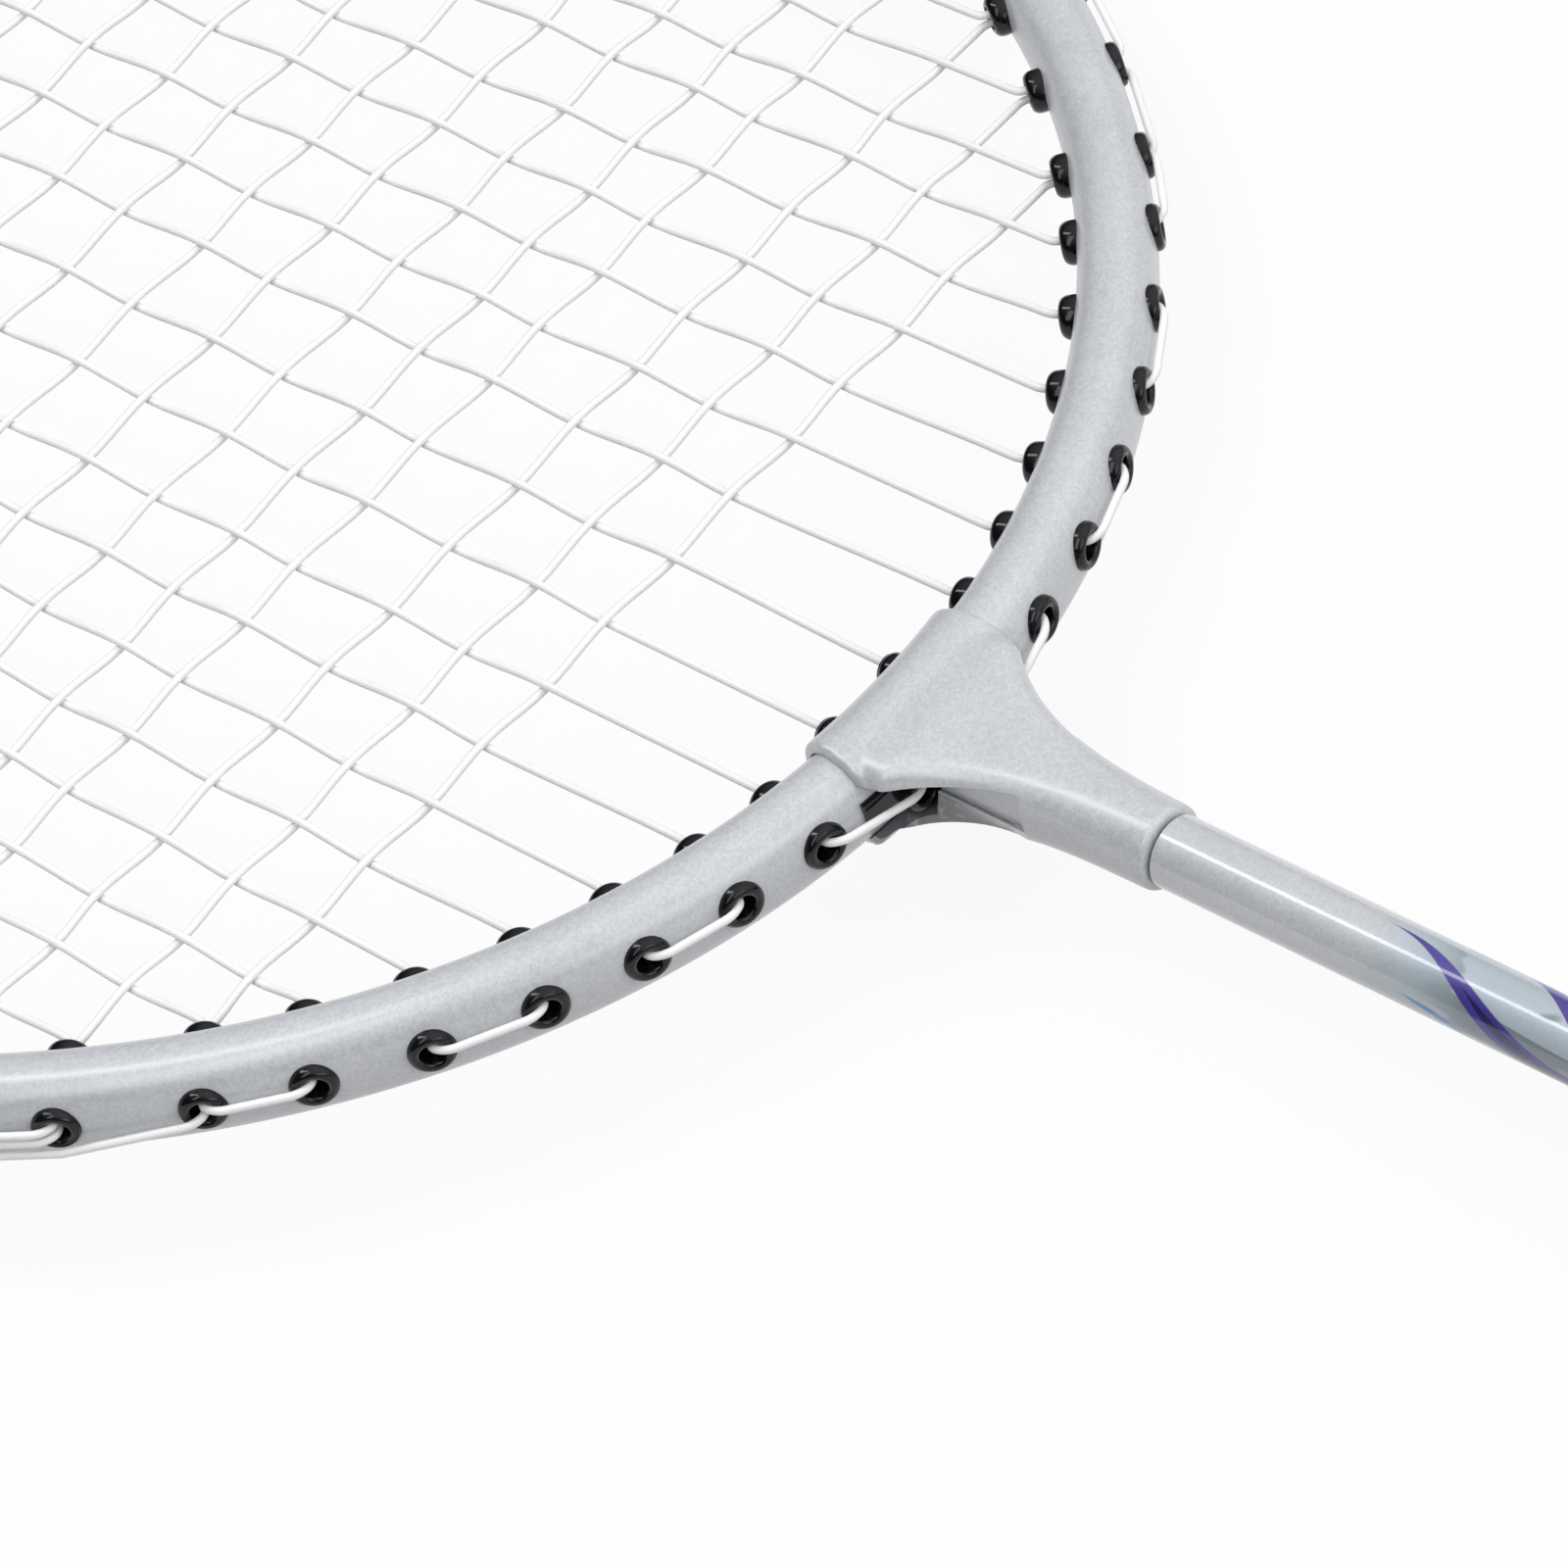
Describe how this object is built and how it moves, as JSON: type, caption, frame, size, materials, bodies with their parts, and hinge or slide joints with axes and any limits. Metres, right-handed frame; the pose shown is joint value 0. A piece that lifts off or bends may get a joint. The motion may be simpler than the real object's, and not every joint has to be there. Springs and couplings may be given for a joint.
{
  "type": "badminton racket",
  "caption": "Badminton racket: strung oval head with grommets, throat joint, slim shaft, cone and tape-wound octagonal handle with butt cap.",
  "frame": {"origin": "middle of the butt cap's flat end face", "axes": "+Y along the shaft from the butt to the crown of the head, +X across the head, +Z out of the string bed"},
  "size_m": [0.204, 0.6739, 0.0264],
  "materials": {
    "frame_paint": "satin silver metallic paint with fine flake",
    "shaft_lacquer": "silver paint under clear gloss lacquer",
    "grommet_nylon": "smooth moulded black nylon",
    "string_nylon": "white braided string with a smooth coating",
    "splice_plug": "moulded",
    "dark_plastic": "satin moulded plastic",
    "handle_wood": "plain sanded wood",
    "grip_tape": "soft matte cushioned tape with fine perforations",
    "end_tape": "smooth vinyl finishing tape"
  },
  "bodies": {
    "root": {"head_frame": "frame_paint", "frame_splice": "splice_plug", "throat_joint": "frame_paint", "crown_grommet_strip": "grommet_nylon", "shoulder_grommet_strip_right": "grommet_nylon", "shoulder_grommet_strip_left": "grommet_nylon", "throat_grommet_strip_right": "grommet_nylon", "throat_grommet_strip_left": "grommet_nylon", "grommet_right_01": "grommet_nylon", "grommet_left_01": "grommet_nylon", "grommet_right_02": "grommet_nylon", "grommet_left_02": "grommet_nylon", "grommet_right_03": "grommet_nylon", "grommet_left_03": "grommet_nylon", "grommet_right_04": "grommet_nylon", "grommet_left_04": "grommet_nylon", "grommet_right_05": "grommet_nylon", "grommet_left_05": "grommet_nylon", "grommet_right_06": "grommet_nylon", "grommet_left_06": "grommet_nylon", "grommet_right_07": "grommet_nylon", "grommet_left_07": "grommet_nylon", "grommet_right_08": "grommet_nylon", "grommet_left_08": "grommet_nylon", "grommet_right_09": "grommet_nylon", "grommet_left_09": "grommet_nylon", "grommet_right_10": "grommet_nylon", "grommet_left_10": "grommet_nylon", "grommet_right_11": "grommet_nylon", "grommet_left_11": "grommet_nylon", "grommet_right_12": "grommet_nylon", "grommet_left_12": "grommet_nylon", "grommet_right_13": "grommet_nylon", "grommet_left_13": "grommet_nylon", "grommet_right_14": "grommet_nylon", "grommet_left_14": "grommet_nylon", "grommet_right_15": "grommet_nylon", "grommet_left_15": "grommet_nylon", "grommet_right_16": "grommet_nylon", "grommet_left_16": "grommet_nylon", "grommet_right_17": "grommet_nylon", "grommet_left_17": "grommet_nylon", "grommet_right_18": "grommet_nylon", "grommet_left_18": "grommet_nylon", "grommet_right_19": "grommet_nylon", "grommet_left_19": "grommet_nylon", "main_string": "string_nylon", "cross_string": "string_nylon", "shaft": "shaft_lacquer", "handle_core": "handle_wood", "handle_cone": "dark_plastic", "butt_cap": "dark_plastic", "grip_wrap": "grip_tape", "grip_end_tape": "end_tape"}
  },
  "joints": []
}
